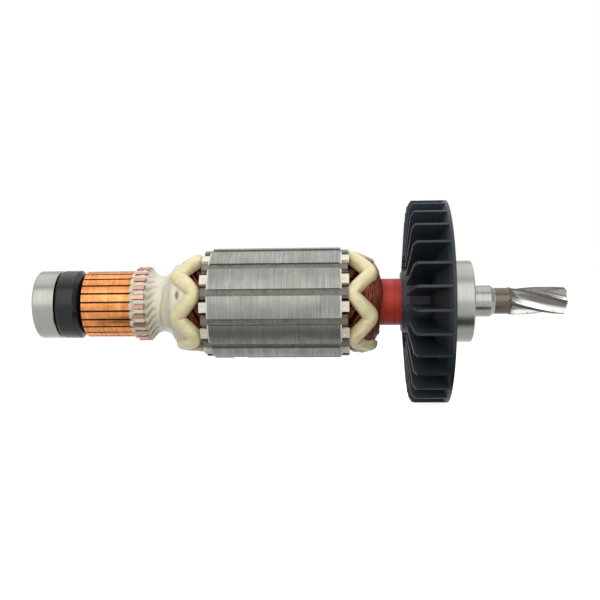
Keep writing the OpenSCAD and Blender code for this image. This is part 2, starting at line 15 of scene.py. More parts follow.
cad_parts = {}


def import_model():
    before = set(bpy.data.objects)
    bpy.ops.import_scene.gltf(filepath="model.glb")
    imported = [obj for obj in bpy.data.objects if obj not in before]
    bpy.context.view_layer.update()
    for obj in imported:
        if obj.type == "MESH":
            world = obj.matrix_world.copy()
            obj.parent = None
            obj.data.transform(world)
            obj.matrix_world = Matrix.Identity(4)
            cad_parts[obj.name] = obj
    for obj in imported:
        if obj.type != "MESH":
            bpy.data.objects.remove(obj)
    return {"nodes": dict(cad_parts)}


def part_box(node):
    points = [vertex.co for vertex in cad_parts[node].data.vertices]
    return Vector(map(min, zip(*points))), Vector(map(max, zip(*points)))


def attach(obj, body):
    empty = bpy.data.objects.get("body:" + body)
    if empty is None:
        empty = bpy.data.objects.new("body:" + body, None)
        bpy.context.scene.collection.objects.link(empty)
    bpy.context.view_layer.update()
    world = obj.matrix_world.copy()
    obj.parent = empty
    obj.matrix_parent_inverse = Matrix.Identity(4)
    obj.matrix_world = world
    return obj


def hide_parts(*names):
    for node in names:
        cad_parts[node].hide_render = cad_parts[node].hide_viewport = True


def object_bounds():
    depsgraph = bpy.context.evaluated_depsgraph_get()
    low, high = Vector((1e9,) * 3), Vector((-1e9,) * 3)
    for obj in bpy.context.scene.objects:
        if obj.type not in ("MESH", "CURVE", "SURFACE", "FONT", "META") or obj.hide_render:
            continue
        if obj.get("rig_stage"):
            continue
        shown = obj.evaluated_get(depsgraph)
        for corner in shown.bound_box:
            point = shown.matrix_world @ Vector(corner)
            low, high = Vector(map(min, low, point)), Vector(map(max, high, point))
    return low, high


MM = 0.001
PINION = 18.2 * MM        # length of the pinion
COLLAR = 7.2 * MM         # from the drive bearing's inner ring to the end of the shaft's collar
LEAD_BAND = 5.1 * MM      # from the end of the brush track to the commutator's front
LOG = logging.getLogger("armature")

Adder = Callable[..., bpy.types.Node]
Socket = bpy.types.NodeSocket
Piece = bpy.types.Object
Material = bpy.types.Material
Colour = tuple[float, float, float, float]
Profile = Sequence[tuple[float, float]]


def linear(code: str) -> Colour:
    """Turns an sRGB hex colour into linear RGBA.

    Args:
        code: Six hex digits after a hash.

    Returns:
        The linear colour, with alpha 1.
    """
    parts = [int(code[i:i + 2], 16) / 255 for i in (1, 3, 5)]
    r, g, b = (c / 12.92 if c <= 0.04045 else ((c + 0.055) / 1.055) ** 2.4 for c in parts)
    return (r, g, b, 1.0)


def add_node(tree: bpy.types.NodeTree, kind: str, settings: dict | None = None,
             links: dict | None = None) -> bpy.types.Node:
    """Adds one node with its settings and links.

    Args:
        tree: Node tree that gets the node.
        kind: Blender's type name of the node, without its "ShaderNode".
        settings: Property names with their values, or input sockets (by name in
            brackets, or by number) with their default values.
        links: Input sockets, by name or number, with the output that feeds each.

    Returns:
        The new node.
    """
    made = tree.nodes.new(f"ShaderNode{kind}")
    for key, value in (settings or {}).items():
        if isinstance(key, int):
            made.inputs[key].default_value = value
        elif key.startswith("["):
            made.inputs[key[1:-1]].default_value = value
        else:
            setattr(made, key, value)
    for key, source in (links or {}).items():
        tree.links.new(source, made.inputs[key])
    return made


def empty_tree(owner: Material | bpy.types.World) -> Adder:
    """Empties the node tree of a material or a world, and gives what adds nodes to it."""
    owner.use_nodes = True
    owner.node_tree.nodes.clear()
    return partial(add_node, owner.node_tree)


def radius_of(add: Adder, place: Socket) -> Socket:
    """Gives the distance in metres of object coordinates from the shaft's axis."""
    flat = add("VectorMath", {"operation": "MULTIPLY", 1: (0, 1, 1)}, {0: place}).outputs[0]
    return add("VectorMath", {"operation": "LENGTH"}, {0: flat}).outputs[1]


class Grain(Enum):
    """How a surface was made, which gives the pattern of its fine marks."""

    TURNED = "turned"        # rings round the shaft, from a lathe or a grinder
    MOULDED = "moulded"      # even fine texture of a mould
    POURED = "poured"        # soft waves of cured resin
    DRAWN = "drawn"          # long faint marks of drawn wire
    PRESSED = "pressed"      # fibre and paper


GRAIN_NOISE = {
    Grain.TURNED: {"[Detail]": 5.0, "[Roughness]": 0.7},
    Grain.MOULDED: {"[Detail]": 2.0, "[Roughness]": 0.5},
    Grain.POURED: {"[Detail]": 3.0, "[Roughness]": 0.45, "[Distortion]": 0.6},
    Grain.DRAWN: {"[Detail]": 2.0, "[Roughness]": 0.6},
    Grain.PRESSED: {"[Detail]": 5.0, "[Roughness]": 0.75},
}
RING_PITCHES = 5          # pitches that a noise cell of turned marks covers along the shaft
RING_SWEEP = 160          # pitches that it covers round the shaft, where a mark runs on


@dataclass(frozen=True)
class Edge:
    """A soft edge of a zone.

    Attributes:
        of: "along" the shaft, "out" from its axis, or the name of a point attribute.
        start: Value at which the zone begins to show, in m for a place.
        end: Value at which it shows fully.
        period: Half the distance after which the edge comes back, in m, or 0.
    """

    of: str
    start: float = 0.0
    end: float = 1.0
    period: float = 0.0


@dataclass(frozen=True)
class Zone:
    """A zone of another tone: its sRGB hex colour, its edges and its strength from 0 to 1."""

    tone: str
    edges: tuple[Edge, ...]
    strength: float = 1.0

    def share(self, add: Adder, place: Socket) -> Socket:
        """Makes the share of the zone's tone, which is the product of its edges.

        Args:
            add: Adds a node to the material.
            place: Object coordinates.

        Returns:
            A value from 0 to 1.
        """
        limit = {}
        for edge in self.edges:
            if edge.of == "along":
                value = add("SeparateXYZ", None, {0: place}).outputs[0]
            elif edge.of == "out":
                value = radius_of(add, place)
            else:
                value = add("Attribute", {"attribute_name": edge.of}).outputs["Fac"]
            if edge.period:
                value = add("Math", {"operation": "PINGPONG", 1: edge.period}, {0: value}).outputs[0]
            # the share so far is the most that the next edge can give
            limit[4] = add("MapRange", {1: edge.start, 2: edge.end, 4: self.strength},
                           {0: value, **limit}).outputs[0]
        return limit[4]


@dataclass(frozen=True)
class Finish:
    """A surface finish: what the material is and how it was made, in mm.

    Attributes:
        name: Name of the Blender material.
        light: Colour of the lighter parts, as sRGB hex.
        dark: Colour of the darker parts.
        grain: Pattern of the fine marks.
        pitch: Distance between marks, which are all drawn coarser than real ones.
        depth: Height of the marks in the bump.
        metallic: Share of bare metal.
        rough: Lowest and highest roughness.
        coat: Weight of a clear coat.
        coat_rough: Roughness of the clear coat.
        patch: Size of the slow colour patches.
        patch_mix: How far the patches go towards the darker colour.
        mark_mix: How far the marks go towards it.
        edge: Radius of the broken edges.
        shine: Specular level of a material that isn't metal.
        glow_depth: Distance that light travels inside.
        glow: Weight of the light that travels inside.
        zones: Zones of another tone, in the order in which they are laid.
    """

    name: str
    light: str
    dark: str
    grain: Grain
    pitch: float
    depth: float
    metallic: float = 0.0
    rough: tuple[float, float] = (0.4, 0.5)
    coat: float = 0.0
    coat_rough: float = 0.1
    patch: float = 6.0
    patch_mix: float = 0.5
    mark_mix: float = 0.5
    edge: float = 0.08
    shine: float = 0.5
    glow_depth: float = 1.0
    glow: float = 0.0
    zones: tuple[Zone, ...] = ()

    def build(self) -> Material:
        """Builds the material.

        Returns:
            The finished material, ready for a slot.
        """
        material = bpy.data.materials.new(self.name)
        add = empty_tree(material)
        place = add("TexCoord").outputs["Object"]
        marks = self.marks(add, place)
        colour = self.plain_colour(add, place, marks)
        for zone in self.zones:
            colour = add("Mix", {"data_type": "RGBA", 7: linear(zone.tone)},
                         {0: zone.share(add, place), 6: colour}).outputs[2]
        rough = add("MapRange", {1: 0.3, 2: 0.7, 3: self.rough[0], 4: self.rough[1]}, {0: marks}).outputs[0]
        edge = add("Bevel", {"samples": 4, "[Radius]": self.edge * MM}).outputs[0]
        bump = add("Bump", {"[Strength]": 1.0, "[Distance]": self.depth * MM},
                   {"Height": marks, "Normal": edge}).outputs[0]
        skin = add("BsdfPrincipled", {
            "[Metallic]": self.metallic, "[Coat Weight]": self.coat,
            "[Coat Roughness]": self.coat_rough, "[Specular IOR Level]": self.shine,
            "[Subsurface Weight]": self.glow, "[Subsurface Radius]": (1.0, 0.8, 0.5),
            "[Subsurface Scale]": self.glow_depth * MM,
        }, {"Base Color": colour, "Roughness": rough, "Normal": bump})
        add("OutputMaterial", None, {"Surface": skin.outputs[0]})
        return material

    def marks(self, add: Adder, place: Socket) -> Socket:
        """Makes the pattern of the fine marks.

        Args:
            add: Adds a node to the material.
            place: Object coordinates.

        Returns:
            A height from 0 to 1.
        """
        scale = 1 / (self.pitch * MM)
        if self.grain is Grain.TURNED:
            parts = add("SeparateXYZ", None, {0: place}).outputs
            along = add("Math", {"operation": "ADD"}, {0: parts[0], 1: radius_of(add, place)}).outputs[0]
            spans = ((along, RING_PITCHES), (parts[1], RING_SWEEP), (parts[2], RING_SWEEP))
            rings = {axis: add("Math", {"operation": "MULTIPLY", 1: scale / span},
                               {0: source}).outputs[0] for axis, (source, span) in enumerate(spans)}
            scale, place = 1.0, add("CombineXYZ", None, rings).outputs[0]
        return add("TexNoise", {"[Scale]": scale, **GRAIN_NOISE[self.grain]},
                   {"Vector": place}).outputs["Fac"]

    def plain_colour(self, add: Adder, place: Socket, marks: Socket) -> Socket:
        """Mixes the two colours by slow patches and by the fine marks.

        Args:
            add: Adds a node to the material.
            place: Object coordinates.
            marks: Height of the fine marks.

        Returns:
            The colour without its zones.
        """
        patches = add("TexNoise", {
            "[Scale]": 1 / (self.patch * MM), "[Detail]": 3.0, "[Roughness]": 0.6,
        }, {"Vector": place}).outputs["Fac"]
        slow, quick = (add("MapRange", {1: 0.3, 2: 0.7, 3: 0.0, 4: mix}, {0: source}).outputs[0]
                       for source, mix in ((patches, self.patch_mix), (marks, self.mark_mix)))
        share = add("Math", {"operation": "ADD", "use_clamp": True}, {0: slow, 1: quick}).outputs[0]
        return add("Mix", {
            "data_type": "RGBA", 6: linear(self.light), 7: linear(self.dark)}, {0: share}).outputs[2]


def only(piece: Piece) -> Piece:
    """Selects one object and nothing else, makes it the active one and gives it back."""
    bpy.ops.object.select_all(action="DESELECT")
    piece.select_set(True)
    bpy.context.view_layer.objects.active = piece
    return piece


def newest(name: str) -> Piece:
    """Names the object that an operator has just made, and gives it."""
    piece = bpy.context.view_layer.objects.active
    piece.name = name
    return piece


def polar(x: float, radius: float, angle: float) -> Vector:
    """Gives a point in metres from a place along the shaft, a radius (both mm) and degrees."""
    a = math.radians(angle)
    return Vector((x, radius * math.cos(a), radius * math.sin(a))) * MM


def nearest(offset: float, period: float = 360.0) -> float:
    """Gives an offset from the nearest of the places that come once in each period."""
    return (offset + period / 2) % period - period / 2


def step_up(value: float, start: float, end: float) -> float:
    """Rises smoothly from 0 at start to 1 at end."""
    t = min(1.0, max(0.0, (value - start) / (end - start)))
    return t * t * (3 - 2 * t)


def hump(offset: float, width: float) -> float:
    """Falls smoothly from 1 in the middle towards 0 on both sides."""
    return math.exp(-(offset / width) ** 2)


def between(x: float, profile: Profile) -> float:
    """Gives a smooth value between the stations of a short profile.

    Args:
        x: Where the value is wanted.
        profile: Stations with their values, in rising order.

    Returns:
        The value there. Outside the stations it keeps the end values.
    """
    if x <= profile[0][0]:
        return profile[0][1]
    if x >= profile[-1][0]:
        return profile[-1][1]
    k = next(i for i, (end, _) in enumerate(profile) if x < end) - 1
    (x0, v0), (x1, v1) = profile[k], profile[k + 1]
    (xa, va), (xb, vb) = profile[max(k - 1, 0)], profile[min(k + 2, len(profile) - 1)]
    start, end = (v1 - va) / (x1 - xa) * (x1 - x0), (vb - v0) / (xb - x0) * (x1 - x0)
    t = (x - x0) / (x1 - x0)
    return ((2 * t ** 3 - 3 * t ** 2 + 1) * v0 + (t ** 3 - 2 * t ** 2 + t) * start
            + (3 * t ** 2 - 2 * t ** 3) * v1 + (t ** 3 - t ** 2) * end)


def across_path(angle: float, round_shaft: float, along_shaft: float) -> tuple[Vector, Vector]:
    """Gives the directions across a path that winds round the shaft.

    Args:
        angle: Angle of a place on the path, in degrees.
        round_shaft: How far the path goes round the shaft there.
        along_shaft: How far it goes along the shaft meanwhile.

    Returns:
        The direction to the path's side, and the one outwards.
    """
    a = math.radians(angle)
    length = math.hypot(round_shaft, along_shaft) or 1
    side = (Vector((0, math.sin(a), -math.cos(a))) * (along_shaft / length)
            + Vector((1, 0, 0)) * (round_shaft / length))
    return side, Vector((0, math.cos(a), math.sin(a)))


def ring_piece(name: str, around: int, across: int, rule: Callable[[float, float], Vector]) -> Piece:
    """Models a closed ring: a torus whose points are then moved to their places.

    Args:
        name: Name of the piece.
        around: Number of faces round the shaft.
        across: Number of faces round the ring's section.
        rule: Gives a point in metres from its angle round the shaft and its angle round
            the section, both in degrees.

    Returns:
        The smooth, closed piece.
    """
    bpy.ops.mesh.primitive_torus_add(major_segments=around, minor_segments=across,
                                     major_radius=2.0, minor_radius=1.0)
    piece = newest(name)
    piece.data.name = name
    for point in piece.data.vertices:
        x, y, z = point.co
        round_shaft = math.degrees(math.atan2(y, x)) % 360
        section = math.degrees(math.atan2(z, math.hypot(x, y) - 2.0)) % 360
        point.co = rule(round_shaft, section)
    piece.data.update()
    only(piece)
    bpy.ops.object.mode_set(mode="EDIT")
    bpy.ops.mesh.select_all(action="SELECT")
    bpy.ops.mesh.normals_make_consistent(inside=False)
    bpy.ops.object.mode_set(mode="OBJECT")
    bpy.ops.object.shade_smooth()
    return piece


def finish_piece(piece: Piece, material: Material, slot: str, *replaced: str) -> Piece:
    """Gives a piece of the rotor its material and its body, and hides the nodes it stands for.

    Args:
        piece: The piece.
        material: Its material.
        slot: Name of a material slot; not used.
        *replaced: CAD nodes that it stands for.

    Returns:
        The same piece.
    """
    piece.data.materials.clear()
    piece.data.materials.append(material)
    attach(piece, "rotor")
    if replaced:
        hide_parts(*replaced)
    return piece


@dataclass
class PinionShaft:
    """A skin over the shaft that gives its helical flanks the smooth shine of ground ones.

    Attributes:
        pinion: Length of the pinion, in m.
        weld: Distance at which two corners are joined, in m.
        crease: Angle over which an edge stays sharp, in degrees.
        sheen_rate: How quickly a painted reflection sets in where a flank faces round the shaft one way.
        sheen_delay: How much of such a flank stays without it before it does.
    """

    pinion: float = PINION
    weld: float = 0.001 * MM
    crease: float = 32.0
    sheen_rate: float = 2.5
    sheen_delay: float = 0.25

    @staticmethod
    def corner_places(mesh: bpy.types.Mesh) -> list[Vector]:
        """Gives a point just inside each corner of each face."""
        return [mesh.vertices[mesh.loops[corner].vertex_index].co.lerp(face.center, 0.1)
                for face in mesh.polygons for corner in face.loop_indices]

    def copy_node(self, name: str) -> Piece:
        """Copies the CAD node as a piece of its own, with its loose triangles joined.

        Args:
            name: Name of the copy.

        Returns:
            The copy, selected and active.
        """
        only(bpy.data.objects["shaft"])
        bpy.ops.object.duplicate(linked=False)
        piece = newest(name)
        for key in [key for key in piece.keys() if key.startswith("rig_")]:
            del piece[key]
        piece.parent = None
        only(piece)
        bpy.ops.object.mode_set(mode="EDIT")
        bpy.ops.mesh.select_all(action="SELECT")
        bpy.ops.mesh.remove_doubles(threshold=self.weld)
        bpy.ops.object.mode_set(mode="OBJECT")
        return piece

    def smooth_teeth(self, mesh: bpy.types.Mesh) -> None:
        """Shades the teeth smooth and leaves the turned faces the CAD node's normals.

        Args:
            mesh: Mesh of the copy.
        """
        source = bpy.data.objects["shaft"].data
        places = self.corner_places(source)
        turned = KDTree(len(places))
        for index, place in enumerate(places):
            turned.insert(place, index)
        turned.balance()
        bpy.ops.object.shade_smooth_by_angle(angle=math.radians(self.crease))
        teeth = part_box("shaft")[1].x - self.pinion
        mesh.normals_split_custom_set([
            Vector(corner.vector) if place.x > teeth
            else Vector(source.corner_normals[turned.find(place)[1]].vector)
            for corner, place in zip(mesh.corner_normals, self.corner_places(mesh))])

    def paint_flank_sheen(self, mesh: bpy.types.Mesh) -> None:
        """Marks one flank of each tooth, by which way round it faces, for a painted reflection.

        Args:
            mesh: Mesh of the copy.
        """
        driven = mesh.attributes.new("driven", "FLOAT", "POINT").data
        for point, share in zip(mesh.vertices, driven):
            out = Vector((0.0, point.co.y, point.co.z)).normalized()
            turned = point.normal.dot(out.cross(Vector((1, 0, 0))))
            # painted reflection: a share that grows on the flanks that face round one way
            share.value = min(1.0, max(0.0, self.sheen_rate * turned - self.sheen_delay))

    def build(self, finish: Material) -> Piece:
        """Models the skin in the place of the CAD node.

        Args:
            finish: Ground steel.

        Returns:
            The shaft that is seen.
        """
        skin = self.copy_node("ground_shaft")
        self.smooth_teeth(skin.data)
        self.paint_flank_sheen(skin.data)
        return finish_piece(skin, finish, "ground_steel", "shaft")


@dataclass
class Winding:
    """The coils, each wound from far fewer strands than a real one, in mm and degrees.

    Attributes:
        core: Places of the core's two faces.
        count: Number of coils.
        phase: Angle of the first tooth.
        span: Teeth that a coil reaches round.
        bottom: Radius of the lower layer in a slot.
        top: Radius of the upper layer.
        width: Width of a bundle in a slot.
        height: Height of a bundle.
        wire: Diameter of a strand.
        head_out: Distance from the core at which a head begins.
        head_drop: How far a head lies below its layer in the slot.
        head_taper: How much further its nose is drawn in.
        head_narrow: Share of its width that a bundle loses at the nose.
        nose_power: Roundness of the nose.
        nose_half: Half the share of a head on which the layer changes.
        reach: Lengths of the heads at the two ends.
        lean: How far the upper strands of a nose lean back.
        plate: Thickness of the end insulators' plates.
        grid: Strands across a bundle and through it.
        corner: How far out the strands at its corners stay.
        seed: Start of the strands' wander.
    """

    core: tuple[float, float]
    count: int = 12
    phase: float = 4.4
    span: int = 5
    bottom: float = 12.05
    top: float = 14.4
    width: float = 2.3
    height: float = 1.9
    wire: float = 0.46
    head_out: float = 2.4
    head_drop: float = 2.1
    head_taper: float = 1.1
    head_narrow: float = 0.2
    nose_power: float = 1.25
    nose_half: float = 0.036
    reach: tuple[float, float] = (8.8, 9.3)
    lean: float = 0.7
    plate: float = 0.5
    grid: tuple[int, int] = (4, 4)
    corner: float = 0.86
    seed: int = 40

    def head(self, t: float, start: float, sense: int, end: int, upwards: bool) -> tuple[float, ...]:
        """Gives a station of a coil head.

        Args:
            t: Share of the head's span.
            start: Angle at which the head starts.
            sense: 1 where the angle grows, -1 where it falls.
            end: 0 for the commutator end, 1 for the fan end.
            upwards: True where the wire goes from the lower to the upper layer.

        Returns:
            Angle, radius, place along the shaft, width and lean towards the core.
        """
        shape = 1 - abs(2 * t - 1) ** self.nose_power
        inner, outer = self.bottom - self.head_drop, self.top - self.head_drop
        low, high = (inner, outer) if upwards else (outer, inner)
        layer = step_up(t, 0.5 - self.nose_half, 0.5 + self.nose_half)
        out = 1 if end else -1
        return (start + sense * t * self.span * 360 / self.count,
                low + (high - low) * layer - self.head_taper * shape,
                self.core[end] + out * (self.head_out + self.reach[end] * shape),
                self.width * (1 - self.head_narrow * shape), out * shape)

    def path(self, angle: float) -> list[tuple[float, ...]]:
        """Gives the stations of one coil, which closes on itself.

        Args:
            angle: Angle of the slot that holds its lower side.

        Returns:
            Angle, radius, place, width and lean of each station.
        """
        far = angle + self.span * 360 / self.count
        back, front = self.core
        dip = self.head_out - 0.4
        # the stations stand closest together at the nose, where the layer changes
        shares = [0, .05, .1, .2, .3, .38, .44, .464, .48, .5, .52, .536, .56, .62, .7, .8, .9, .95, 1]
        places = [back - dip, back - self.plate, (back + front) / 2, front + self.plate, front + dip]
        lower, upper = ([r - self.head_drop, r, r, r, r - self.head_drop] for r in (self.bottom, self.top))
        return ([(angle, r, x, self.width, 0.0) for r, x in zip(lower, places)]
                + [self.head(t, angle, 1, 1, True) for t in shares]
                + [(far, r, x, self.width, 0.0) for r, x in zip(upper, reversed(places))]
                + [self.head(t, far, -1, 0, False) for t in shares])

    def strand(self, stations: Sequence[tuple[float, ...]], u: float, v: float,
               dice: random.Random) -> list[Vector]:
        """Gives the points of one strand in the bundle.

        Args:
            stations: Stations of the coil.
            u: Place across the bundle, from -1 to 1.
            v: Place through the bundle, from -1 to 1.
            dice: Source of the small irregular wander.

        Returns:
            Points in metres.
        """
        points = []
        turns = [dice.uniform(0, math.tau) for _ in range(4)]
        for k, (angle, radius, x, width, lean) in enumerate(stations):
            before, after = stations[k - 1], stations[(k + 1) % len(stations)]
            side, out = across_path(angle, math.radians(after[0] - before[0]) * radius, after[2] - before[2])
            s = k / len(stations) * math.tau
            du = 0.10 * math.sin(3 * s + turns[0]) + 0.08 * math.sin(7 * s + turns[1])
            dv = 0.10 * math.sin(2 * s + turns[2]) + 0.06 * math.sin(5 * s + turns[3])
            uu, vv = max(-1, min(1, u + du)), max(-1, min(1, v + dv))
            aside, up = uu * (width - self.wire) / 2, vv * (self.height - self.wire) / 2
            back = self.lean * lean * (1 + vv)
            points.append((Vector((x - back, 0, 0)) + side * aside + out * (radius + up)) * MM)
        return points

    def model_coil(self, name: str, angle: float, seed: int) -> Piece:
        """Models one coil as smooth round strands.

        Args:
            name: Name of the piece.
            angle: Angle of the slot that holds its lower side.
            seed: Start of the strands' wander.

        Returns:
            The coil, with its strands turned to a mesh.
        """
        dice = random.Random(seed)
        stations = self.path(angle)
        bpy.ops.curve.primitive_nurbs_circle_add(radius=0.01)
        piece = newest(name)
        curve = piece.data
        curve.name = name
        curve.splines.clear()
        columns, rows = self.grid
        for i in range(columns):
            for j in range(rows):
                if 0 < i < columns - 1 and 0 < j < rows - 1:
                    continue  # strands inside the bundle can't be seen
                u, v = -1 + 2 * i / (columns - 1), -1 + 2 * j / (rows - 1)
                if abs(u) == abs(v) == 1:
                    u, v = u * self.corner, v * self.corner
                points = self.strand(stations, u, v, dice)
                spline = curve.splines.new("NURBS")
                spline.points.add(len(points) - 1)
                for point, place in zip(spline.points, points):
                    point.co = (*place, 1.0)
                spline.use_cyclic_u = True
                spline.order_u = 3
                spline.resolution_u = 2
        curve.dimensions = "3D"
        curve.bevel_depth = self.wire / 2 * MM
        curve.bevel_resolution = 1
        only(piece)
        bpy.ops.object.convert(target="MESH")
        return piece

    def build(self, finish: Material) -> list[Piece]:
        """Models all coils and puts them in the place of the plain bundles.

        Args:
            finish: Enamelled wire.

        Returns:
            The coils.
        """
        made = []
        for i in range(self.count):
            angle = self.phase + (i + 0.5) * 360 / self.count
            coil = self.model_coil(f"wound_coil_{i + 1}", angle, self.seed + i)
            only(coil)
            bpy.ops.object.shade_smooth()
            made.append(finish_piece(coil, finish, "copper_wire", f"coil_{i + 1}"))
        return made


@dataclass(frozen=True)
class Turn:
    """One turn: its place along the dome, how far it leans and from where, and its finer sway."""

    at: float
    tilt: float
    start: float
    wave: float


@dataclass
class Crown:
    """The outermost turns at the fan end, which lie round the shaft as a dome, in mm and degrees.

    Attributes:
        front: Place of the core's front face.
        wire: Diameter of a strand.
        overlap: Distance between turns, as a share of the wire.
        dome: Distances from the core, with the dome's radii.
        full_at: Angle at which the dome is fullest.
        fullness: How far it stands out there.
        seed: Start of the turns' sway.
    """

    front: float
    wire: float = 0.46
    overlap: float = 0.86
    dome: Profile = ((6.6, 13.3), (7.8, 14.0), (9.0, 13.75), (10.0, 13.1), (10.8, 12.3), (11.4, 11.4),
                     (11.85, 10.4), (12.15, 9.3), (12.3, 8.3), (12.3, 7.75))
    full_at: float = 153.0
    fullness: float = 0.9
    seed: int = 7

    @cached_property
    def lengths(self) -> list[float]:
        """Gives how far along the section each of its corners lies."""
        lengths = [0.0]
        for (d0, r0), (d1, r1) in zip(self.dome, self.dome[1:]):
            lengths.append(lengths[-1] + math.hypot(d1 - d0, r1 - r0))
        return lengths

    def point(self, turn: Turn, a: float, b: float) -> Vector:
        """Gives a point of one turn.

        Args:
            turn: The turn.
            a: Angle round the shaft.
            b: Angle round the wire.

        Returns:
            The point in metres.
        """
        here = turn.at + turn.tilt * math.sin(math.radians(a - turn.start)) + 0.14 * math.sin(
            math.radians(3 * a - turn.wave))
        d, r = (between(here, list(zip(self.lengths, side))) for side in zip(*self.dome))
        lift = 0.06 * math.sin(math.radians(5 * a + turn.wave)) + 0.2 * math.sin(math.radians(a - 40))
        full = self.fullness * hump(nearest(a - self.full_at), 30) - 0.15
        half = self.wire / 2
        return polar(self.front + d + full + half * math.cos(math.radians(b)),
                     r + lift * step_up(r, 7.8, 9.5) + half * math.sin(math.radians(b)), a)

    def build(self, finish: Material) -> Piece:
        """Models the turns and joins them to one piece.

        Args:
            finish: Enamelled wire.

        Returns:
            The crown.
        """
        dice = random.Random(self.seed)
        rings = []
        count = int(self.lengths[-1] / (self.wire * self.overlap))
        for i in range(count):
            turn = Turn((i + 0.5) / count * self.lengths[-1], dice.uniform(-0.28, 0.28),
                        dice.uniform(0, 360), dice.uniform(0, 360))
            rings.append(ring_piece(f"turn_{i}", 120, 8, partial(self.point, turn)))
        only(rings[0])
        for ring in rings:
            ring.select_set(True)
        bpy.ops.object.join()
        crown = newest("wound_crown")
        crown.data.name = crown.name
        return finish_piece(crown, finish, "copper_wire")


@dataclass
class ResinBead:
    """A zigzag bead of resin that ties the coil heads at one end, in mm and degrees.

    Attributes:
        face: Place of the core's face.
        out: 1 at the fan end, -1 at the commutator end.
        height: Height of the bead.
        reach: Length of the coil heads.
        seed: Start of its irregular course.
        tab: Distance from the core at which it begins.
        width: Width of the bead.
        swing: Distance between its inner and outer turns.
        base_width: Width that its course is laid out for.
        waves: Turns next to the core.
        phase: Angle of a turn next to the core.
        straight: How straight its legs are, from 0 to 1.
        surface: Radius of the coil heads where they begin.
        taper: How far their surface falls to the nose.
        head_out: Distance from the core at which they begin.
        foot_rise: How much higher the inner turns are.
        thin_at: Angle at which less resin was laid.
        thin_width: How far round from there it is thinner.
    """

    face: float
    out: int
    height: float
    reach: float
    seed: float
    tab: float
    width: float = 4.55
    swing: float = 5.2
    base_width: float = 4.4
    waves: int = 6
    phase: float = 169.4
    straight: float = 0.86
    surface: float = 13.25
    taper: float = 1.1
    head_out: float = 2.4
    foot_rise: float = 0.7
    thin_at: float = 80.0
    thin_width: float = 17.0

    def wander(self, a: float, rate: int, shift: float) -> float:
        """Gives a small irregular value from -1 to 1 that closes after a full turn."""
        t = math.radians(a)
        return (math.sin(rate * t + shift + self.seed)
                + math.sin((rate + 3) * t + 2.3 * shift - self.seed)) / 2

    def distance(self, a: float) -> float:
        """Gives the distance of the bead's middle from the core."""
        course = math.cos(math.radians(self.waves * (a - self.phase + 2.2 * self.wander(a, 2, 0.4))))
        leg = math.asin(self.straight * course) / math.asin(self.straight)
        return self.tab + self.base_width / 2 + self.swing / 2 * (1 - leg)

    def ground(self, d: float) -> float:
        """Gives the radius of the coil heads' surface at a distance from the core."""
        return self.surface - self.taper * max(0.0, d - self.head_out) / self.reach

    def point(self, a: float, b: float) -> Vector:
        """Gives a point of the bead's surface.

        Args:
            a: Angle round the shaft.
            b: Angle round the bead's section, 90 being outwards.

        Returns:
            The point in metres.
        """
        d = self.distance(a)
        slope = self.out * (self.distance(a + 2) - self.distance(a - 2))
        side, out = across_path(a, math.radians(4) * self.ground(d), slope)
        crest = 0.5 - 0.5 * math.cos(math.radians(self.waves * (a - self.phase)))
        thin = hump(nearest(a - self.thin_at), self.thin_width)
        w = self.width / 2 * (1 + 0.10 * crest + 0.05 * self.wander(a, 7, 1.1)) * (1 - 0.3 * thin)
        h = self.height * (1 + 0.05 * self.wander(a, 5, 2.0)) + self.foot_rise * (1 - crest)
        h *= 1 - 0.5 * thin
        c, s = math.cos(math.radians(b)), math.sin(math.radians(b))
        across = math.copysign(abs(c) ** 0.82, c) * w
        up = abs(s) ** 0.86 * h if s > 0 else -0.5 * abs(s)
        ripple = 0.11 * noise.noise(Vector((a / 8, b / 40, self.seed))) * h
        base = self.ground(d - self.base_width / 2) + 0.1
        return (Vector((self.face + self.out * d, 0, 0)) + side * across
                + out * (base + up + ripple * max(0.0, s))) * MM

    def build(self, name: str, node: str, finish: Material) -> Piece:
        """Models the bead under a name of its own, in the place of its CAD node."""
        return finish_piece(ring_piece(name, 300, 28, self.point), finish, "cream_resin", node)


